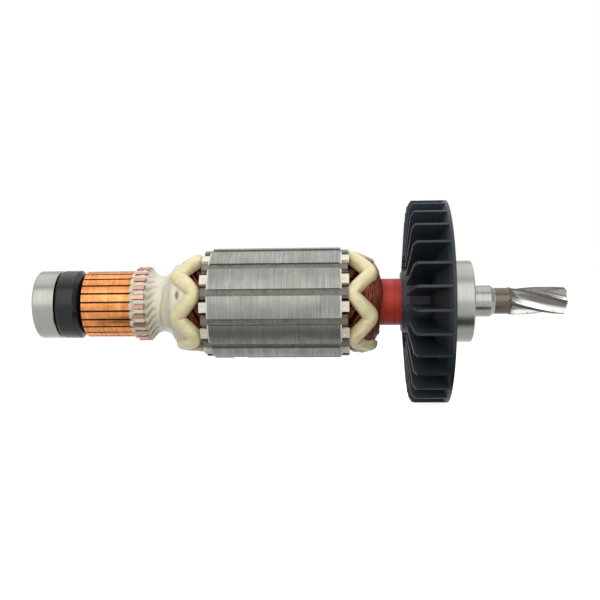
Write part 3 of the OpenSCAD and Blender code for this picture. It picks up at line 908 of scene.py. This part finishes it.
@dataclass
class LeadCoat:
    """The resin over the lead wires, from between the hooks to under the bead, in mm and degrees.

    Attributes:
        track: Place where the brush track ends.
        front: Place of the commutator's front, from which the profiles run.
        bead: The bead under whose middle the coat ends.
        bars: Number of bars.
        phase: Angle of the first bar.
        riser: Radius of the bars under the coat.
        sleeve: Radius of the insulating sleeve.
        leads: Radius at which the leads lie.
        twist: How far a lead turns in each mm.
        lump: The coat's height over the bars between two hooks.
        beside: Its height beside a hook.
        neck: Its radius from the commutator to the coil heads.
        spot: Place, radius and angle of a bare spot.
        spot_size: Distances at which the spot begins to show and shows fully.
        spot_narrow: How much narrower than high it is.
    """

    track: float
    front: float
    bead: ResinBead
    bars: int = 24
    phase: float = 4.4
    riser: float = 10.975
    sleeve: float = 6.61
    leads: float = 11.3
    twist: float = 6.5
    lump: Profile = ((-4.95, 0.02), (-4.5, 0.3), (-3.6, 0.45), (-2.8, 0.8), (-0.6, 0.88), (0.4, 0.3))
    beside: Profile = ((-4.95, 0.02), (-4.5, 0.3), (-0.4, 0.45), (0.4, 0.3))
    neck: Profile = ((-0.4, 11.375), (0.7, 10.85), (1.3, 10.2), (2.2, 9.5), (3.2, 9.13), (4.2, 9.03),
                     (5.6, 9.35), (7.1, 10.5), (8.1, 11.9), (8.8, 12.8))
    spot: tuple[float, float, float] = (-88.1, 13.0, 168.2)
    spot_size: tuple[float, float] = (1.9, 0.8)
    spot_narrow: float = 2.3

    def rib(self, a: float, along: float) -> tuple[float, float]:
        """Gives how far a place is from the nearest lead, and how strongly that one stands out.

        Args:
            a: Angle round the shaft.
            along: Distance in front of the commutator.

        Returns:
            The distance round the shaft, and a number from 0 to 1.
        """
        off = nearest(a - self.phase + self.twist * min(2.6, max(0.0, along)), 360 / self.bars)
        strength = (1 - step_up(along, 1.0, 4.2)) * (0.62 - 0.38 * math.sin(math.radians(a)))
        return abs(math.radians(off)) * self.leads, strength

    def surface(self, a: float, x: float) -> tuple[float, float]:
        """Gives the coat's radius at a place and the share of painted shade there.

        Args:
            a: Angle round the shaft.
            x: Place along it.

        Returns:
            The radius, and a number from 0 to 1.
        """
        t, along = math.radians(a), x - self.front
        off, strength = self.rib(a, along)
        # between the hooks it stands up in lumps, and it sinks into the slits of the bars
        lump, beside = between(along, self.lump), between(along, self.beside)
        slit = step_up(off, 1.05, 1.2) * (1 - step_up(along, -3.9, -3.3))
        among = self.riser + lump + (beside - lump) * (1 - step_up(off, 0.65, 0.95)) - 0.75 * slit
        uneven = noise.noise(Vector((x / 0.8, math.cos(t) * 13, math.sin(t) * 13)))
        among += 0.16 * uneven * step_up(off, 0.7, 1.0) * step_up(along, -3.4, -2.6)
        # in front of the commutator it shows the leads as ribs and has one long crease
        near = 1 - step_up(off, 0.45, 1.3)
        behind = between(along, self.neck) + 0.5 * strength * (near - 0.6)
        radius = among + (behind - among) * step_up(along, -0.2, 0.5)
        wave = noise.noise(Vector((x / 1.7, math.cos(t) * 5, math.sin(t) * 5)))
        crease = hump(along - 5.1 - 0.5 * math.sin(3 * t), 0.28)
        crease *= step_up(math.cos(math.radians(a - 190)), 0.55, 0.95)
        radius += 0.10 * wave * step_up(along, -1, 2) - 0.16 * crease
        # painted shade darkens it between the ribs, more so towards the bottom, at the tips of the hooks, in
        # the seams beside them and in its crease
        groove = strength * (1 - near) * step_up(along, -0.1, 0.8)
        tip = (1 - step_up(off, 0.6, 0.85)) * hump(along - 0.2, 0.35)
        seam = 0.8 * hump(off - 0.68, 0.12) * step_up(along, -4.2, -3.8) * (1 - step_up(along, -0.1, 0.2))
        return radius, max(groove, tip, seam, 0.45 * crease)

    def point(self, a: float, b: float) -> Vector:
        """Gives a point of the coat.

        Args:
            a: Angle round the shaft.
            b: Angle round the section, of which the first half is the outside.

        Returns:
            The point in metres.
        """
        start, end = self.track + 0.15, self.bead.face - self.bead.distance(a)
        x = start + (end - start) * min(b, 360 - b) / 180
        heads = self.bead.ground(self.bead.face - x)
        if b <= 180:
            radius = self.surface(a, x)[0]
            radius += (heads + 0.75 - radius) * step_up(x, self.front + 8.6, self.front + 9.6)
        elif x < self.front:
            radius = self.riser - 0.55
        else:
            nose = self.bead.face - self.bead.head_out - self.bead.reach - 1.0
            radius = self.sleeve if x < nose else heads + 0.1
        return polar(x, radius, a)

    def build(self, finish: Material) -> Piece:
        """Models the coat in the place of the plain one.

        Args:
            finish: Poured resin.

        Returns:
            The coat, with its painted shade and its bare spot as attributes.
        """
        coat = ring_piece("lead_coat", 576, 128, self.point)
        groove_shades, bare, (faint, full) = [], [], self.spot_size
        for point in coat.data.vertices:
            x, a = point.co.x / MM, math.degrees(math.atan2(point.co.z, point.co.y)) % 360
            # painted shade: between the ribs, at the hooks, in the seams and in the crease
            groove_shades.append(self.surface(a, x)[1] if x < self.front + 7 else 0.0)
            off = (point.co - polar(*self.spot)) / MM
            away = math.hypot(off.x * self.spot_narrow, off.y, off.z)
            bare.append(min(1.0, max(0.0, (faint - away) / (faint - full))))
        for name, values in (("groove", groove_shades), ("bare", bare)):
            coat.data.attributes.new(name, "FLOAT", "POINT").data.foreach_set("value", values)
        return finish_piece(coat, finish, "cream_resin", "lead_resin_coat")


@dataclass(frozen=True)
class Lamp:
    """A soft rectangular lamp: its name, its place and sides in metres, and its power in watts."""

    name: str
    place: tuple[float, float, float]
    size: tuple[float, float]
    power: float


@dataclass
class Studio:
    """Camera, lamps, floor and background, in mm and degrees.

    Attributes:
        lo: Lowest corner of the object, in m.
        hi: Its highest corner.
        distance: Distance from the camera to the shaft.
        foot: Place along the shaft in front of the camera.
        turn: How far the camera is turned to the left.
        roll: How far it leans.
        above: Its height over the shaft.
        lens: Its focal length on a sensor of 36 mm.
        world: Strength of the background's light on the object.
        lamps: The lamps.
    """

    lo: Vector
    hi: Vector
    distance: float = 270.0
    foot: float = -33.68
    turn: float = 3.56
    roll: float = 0.49
    above: float = 0.84
    lens: float = 50.16
    world: float = 0.36
    lamps: tuple[Lamp, ...] = (Lamp("key_lamp", (-0.05, -0.54, 0.27), (0.95, 0.60), 3.4),
                               Lamp("top_lamp", (-0.05, 0.08, 0.52), (0.90, 0.60), 1.9))

    def add_camera(self) -> None:
        """Places the camera at the height of the shaft."""
        bpy.ops.object.camera_add(
            location=Vector((self.foot, -self.distance, self.above)) * MM,
            rotation=(math.radians(90), math.radians(self.roll), math.radians(self.turn)))
        camera = newest("camera")
        camera.data.lens, camera.data.sensor_width = self.lens, 36.0
        camera.data.clip_start, camera.data.clip_end = 0.01, 20.0
        bpy.context.scene.camera = camera

    def hang(self, lamp: Lamp) -> None:
        """Hangs a lamp so that it faces the object's middle."""
        aim = ((self.lo + self.hi) / 2 - Vector(lamp.place)).to_track_quat("-Z", "Y").to_euler()
        bpy.ops.object.light_add(type="AREA", location=lamp.place, rotation=aim)
        light = newest(lamp.name).data
        light.shape = "RECTANGLE"
        light.size, light.size_y = lamp.size
        light.energy = lamp.power

    @staticmethod
    def seen_white(add: Adder) -> Socket:
        """Gives 1 where the camera, a reflection or a glass looks, and 0 for other light."""
        path = add("LightPath").outputs
        seen = path["Is Camera Ray"]
        for other in ("Is Glossy Ray", "Is Transmission Ray"):
            seen = add("Math", {"operation": "MAXIMUM"}, {0: seen, 1: path[other]}).outputs[0]
        return seen

    def add_background(self) -> None:
        """Makes a white background that lights the object at a lower level."""
        world = bpy.data.worlds.new("studio_world")
        bpy.context.scene.world = world
        add = empty_tree(world)
        light, shown = (add("Background", {"[Color]": (1, 1, 1, 1), "[Strength]": level}).outputs[0]
                        for level in (self.world, 1.0))
        both = add("MixShader", None, {0: self.seen_white(add), 1: light, 2: shown})
        add("OutputWorld", None, {"Surface": both.outputs[0]})

    def lay_floor(self) -> None:
        """Lays a plain pale floor just under the object."""
        bpy.ops.mesh.primitive_plane_add(size=12.0, location=(0, 0, self.lo.z - 0.3 * MM))
        floor = newest("floor")
        # Pale matt paint: an even light tone without shine
        paint = bpy.data.materials.new("pale_floor")
        add = empty_tree(paint)
        glow = add("Math", {"operation": "MULTIPLY", 1: 0.9}, {0: self.seen_white(add)}).outputs[0]
        skin = add("BsdfPrincipled", {
            "[Base Color]": linear("#c2c2c2"), "[Roughness]": 0.9, "[Specular IOR Level]": 0.0,
            "[Emission Color]": (1, 1, 1, 1)}, {"Emission Strength": glow})
        add("OutputMaterial", None, {"Surface": skin.outputs[0]})
        floor.data.materials.append(paint)
        floor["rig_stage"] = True

    def lay_flag(self) -> None:
        """Lays a dark card before the object that only reflections see.

        It gives the polished parts the dark band that a studio's dark side gives them.
        """
        bpy.ops.mesh.primitive_plane_add(
            size=1.0, location=(self.hi.x - 86 * MM, -28 * MM, self.lo.z + 1 * MM))
        card = newest("dark_flag")
        card.scale = (0.14, 0.022, 1.0)
        card.visible_camera = card.visible_diffuse = card.visible_shadow = False
        card.visible_transmission = False
        # Dull black card: a soft dark tone in what mirrors it
        paint = bpy.data.materials.new("dark_card")
        paint.use_nodes = True
        skin = paint.node_tree.nodes["Principled BSDF"]
        skin.inputs["Base Color"].default_value = linear("#2a2c2e")
        skin.inputs["Roughness"].default_value = 0.9
        card.data.materials.append(paint)
        card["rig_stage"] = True

    def build(self) -> None:
        """Sets the whole studio up."""
        self.add_camera()
        for lamp in self.lamps:
            self.hang(lamp)
        self.add_background()
        self.lay_floor()
        self.lay_flag()
        bpy.context.scene.view_settings.view_transform = "Standard"


@dataclass
class Armature:
    """All finishes of the armature and the CAD nodes that they go on.

    Attributes:
        nodes: CAD objects by name.
        bars: Number of commutator bars.
        coils: Number of coils.
    """

    nodes: dict[str, Piece]
    bars: int = 24
    coils: int = 12

    def finishes(self) -> dict[Finish, list[str]]:
        """Gives every finish of the armature with the CAD nodes that it goes on."""
        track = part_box("commutator_bar_1")[1].x - LEAD_BAND
        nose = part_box("drive_bearing_inner_ring")[1].x + COLLAR
        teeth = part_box("shaft")[1].x - PINION
        on_teeth = Edge("along", teeth, teeth + 0.2 * MM)
        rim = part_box("fan")[0].x + 0.9 * MM
        ends = ("drive_bearing", "rear_bearing")
        return {
            # Ground steel: a crisp shine over fine rings, drawn coarser than real ones.
            # Painted shade darkens the teeth, a painted reflection lightens one flank of each, and brown
            # scale stays on nose and lands.
            Finish("ground_shaft_steel", "#92928e", "#656561", Grain.TURNED, 0.16, 0.002, 1.0, (0.2, 0.3),
                   patch_mix=0.3, mark_mix=0.3, edge=0.05, zones=(
                       # painted shade over the teeth, then a painted reflection on one flank of each tooth
                       Zone("#64635f", (on_teeth,)), Zone("#d8d8d4", (on_teeth, Edge("driven"))),
                       Zone("#574e45", (Edge("along", nose, nose + 0.2 * MM),
                                        Edge("along", teeth + 0.5 * MM, teeth))),
                       Zone("#45403b", (on_teeth, Edge("out", 4.23 * MM, 4.31 * MM))))): ["shaft"],
            # Ground bearing steel: an even grey sheen, its rings drawn coarser than real ones
            Finish("bearing_ring_steel", "#8e8e89", "#757571", Grain.TURNED, 0.13, 0.001, 1.0,
                   (0.26, 0.34), patch_mix=0.15, mark_mix=0.3):
                [f"{end}_{ring}_ring" for end in ends for ring in ("outer", "inner")],
            # Pressed sheet: a duller grey with wide faint rings
            Finish("pressed_shield_steel", "#8b8b89", "#666664", Grain.TURNED, 0.4, 0.004, 1.0, (0.3, 0.45)):
                [f"{end}_shields" for end in ends],
            # Polished balls: small clear mirrors
            Finish("polished_ball_steel", "#d8d8d8", "#c0c0c0", Grain.DRAWN, 0.5, 0.0005, 1.0, (0.08, 0.12)):
                [f"{end}_balls" for end in ends],
            # Plain nylon: the tone of horn, a little waxy
            Finish("nylon_cage", "#a48c60", "#7f6b47", Grain.MOULDED, 0.2, 0.01, 0.0, (0.4, 0.55)):
                [f"{end}_cage" for end in ends],
            # Insulating plastic: a matt red, darker in the rings that its mould left
            Finish("red_sleeve_plastic", "#c2301d", "#60150c", Grain.TURNED, 0.35, 0.02, 0.0, (0.38, 0.6),
                   patch=2.5, patch_mix=0.25, mark_mix=0.5, shine=0.3): ["insulating_sleeve"],
            # Turned stack of 0.5 mm sheets: a broken grey shine between thin dark joints
            Finish("turned_sheet_steel", "#979790", "#4b4c4b", Grain.TURNED, 0.11, 0.004, 0.75,
                   (0.34, 0.5), patch=5.0, patch_mix=0.25, mark_mix=0.5, zones=(
                       Zone("#3a3a38", (Edge("along", 0.1 * MM, 0.0, 0.25 * MM),), 0.3),)):
                ["lamination_stack"],
            # Moulded polyester: warm white with a soft shine
            Finish("white_polyester_insulator", "#e2dfd3", "#c9c4b1", Grain.MOULDED, 0.3, 0.02, 0.0,
                   (0.35, 0.5)): ["rear_end_insulator", "front_end_insulator"],
            # Insulating paper: dry brown without shine, its fibres drawn coarser than real ones
            Finish("slot_paper_board", "#c4875a", "#8d5c38", Grain.PRESSED, 0.25, 0.03, 0.0, (0.7, 0.9)):
                ["slot_liners"],
            # Pressed fibre: a matt grey green whose darker tone is deepened as painted shade of the deep
            # slots, with the brown paper folded in beside it
            Finish("slot_wedge_fibre", "#7c7c6f", "#45463f", Grain.PRESSED, 0.8, 0.03, 0.0, (0.5, 0.7),
                   patch=2.0, zones=(Zone("#7a5236", (Edge("out", 16.3 * MM, 16.25 * MM),)),)):
                ["slot_wedges"],
            # Enamelled copper: a deep red brown under a thin varnish, lighter on its bends
            Finish("enamelled_copper_wire", "#8c3a22", "#320f08", Grain.DRAWN, 1.2, 0.01, 0.25,
                   (0.3, 0.45), coat=0.12, coat_rough=0.2, patch=1.8, patch_mix=0.6, edge=0.02, shine=0.3):
                ["lead_wires"] + [f"coil_{i + 1}" for i in range(self.coils)],
            # Turned copper: warm bright rings, duller on the risers and hooks that no brush polishes
            Finish("turned_bar_copper", "#e09a5c", "#8f4b29", Grain.TURNED, 0.14, 0.006, 1.0,
                   (0.24, 0.42), patch=2.5, patch_mix=0.45, zones=(
                       Zone("#a08a6e", (Edge("along", track, track + 0.2 * MM),)),
                       Zone("#ab8370", (Edge("out", 11.25 * MM, 11.3 * MM),)))):
                [f"commutator_bar_{i + 1}" for i in range(self.bars)],
            # Thick cured resin: a cream gloss that lets light a little way in
            Finish("cream_bead_resin", "#e2d9ae", "#c6b787", Grain.POURED, 1.6, 0.08, 0.0, (0.28, 0.42),
                   coat=0.25, glow=0.2, glow_depth=1.0, patch=4.0, patch_mix=0.5, mark_mix=0.3):
                ["rear_bead", "front_bead"],
            # The same resin laid thinly: greyer, with painted shade between its ribs, at the hooks and in
            # its seams and crease, bare in one spot
            Finish("lead_coat_resin", "#dad5c3", "#b7b09c", Grain.POURED, 1.1, 0.10, 0.0, (0.3, 0.45),
                   coat=0.2, glow=0.15, glow_depth=0.8, patch=3.0, patch_mix=0.4, mark_mix=0.3,
                   # painted shade: brown between the coat's ribs, at the hooks and in its seams and crease
                   zones=(Zone("#75573f", (Edge("groove"),)), Zone("#814a40", (Edge("bare"),)))):
                ["lead_resin_coat"],
            # Phenolic moulding: a dark matt brown
            Finish("phenolic_body", "#3a2018", "#1d0f0b", Grain.MOULDED, 0.3, 0.02, 0.0, (0.5, 0.65)):
                ["commutator_body"],
            # Smooth black plastic: one clear highlight
            Finish("black_ring_moulding", "#191a1c", "#0d0e10", Grain.TURNED, 0.4, 0.005, 0.0, (0.2, 0.3),
                   edge=0.2, shine=0.25): ["rear_insulating_ring"],
            # Glass filled nylon: blue black with a faint grain, with a painted grey highlight on the hub's
            # rim
            Finish("glass_filled_nylon", "#242c34", "#151b21", Grain.MOULDED, 0.35, 0.015, 0.0,
                   (0.36, 0.55), shine=0.3, edge=0.12, zones=(
                       # painted highlight: a grey band on the hub's front rim
                       Zone("#62635f", (Edge("along", rim + 0.1 * MM, rim),
                                        Edge("out", 8.4 * MM, 8.3 * MM))),)): ["fan"],
        }

    def dress(self) -> dict[str, Material]:
        """Gives every CAD node its finish.

        Returns:
            Materials by name.
        """
        made = {}
        for finish, names in self.finishes().items():
            made[finish.name] = finish.build()
            for node in (self.nodes[name] for name in names):
                if not node.material_slots:
                    node.data.materials.append(made[finish.name])
                for slot in node.material_slots:
                    slot.material = made[finish.name]
        return made


def main() -> None:
    """Builds the scene piece by piece."""
    logging.basicConfig(level=logging.INFO, format="%(name)s: %(message)s")
    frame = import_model()
    cad_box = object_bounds()
    Studio(*cad_box).build()
    LOG.info("studio ready")
    finishes = Armature(frame["nodes"]).dress()
    LOG.info("%d finishes on %d nodes", len(finishes), len(frame["nodes"]))
    LOG.info("%s ground", PinionShaft().build(finishes["ground_shaft_steel"]).name)
    core = tuple(corner.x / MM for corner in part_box("lamination_stack"))
    wire = finishes["enamelled_copper_wire"]
    LOG.info("%d coils wound", len(Winding(core).build(wire)))
    LOG.info("%s wound", Crown(core[1]).build(wire).name)
    beads = (ResinBead(core[0], -1, 2.4, 8.8, 0.9, 2.75), ResinBead(core[1], 1, 2.9, 9.8, 2.6, 1.75))
    for bead, name in zip(beads, ("rear_bead", "front_bead")):
        LOG.info("%s poured", bead.build(f"poured_{name}", name, finishes["cream_bead_resin"]).name)
    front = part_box("commutator_bar_1")[1].x
    coat = LeadCoat((front - LEAD_BAND) / MM, front / MM, beads[0])
    LOG.info("%s poured", coat.build(finishes["lead_coat_resin"]).name)


if __name__ == "__main__":
    main()
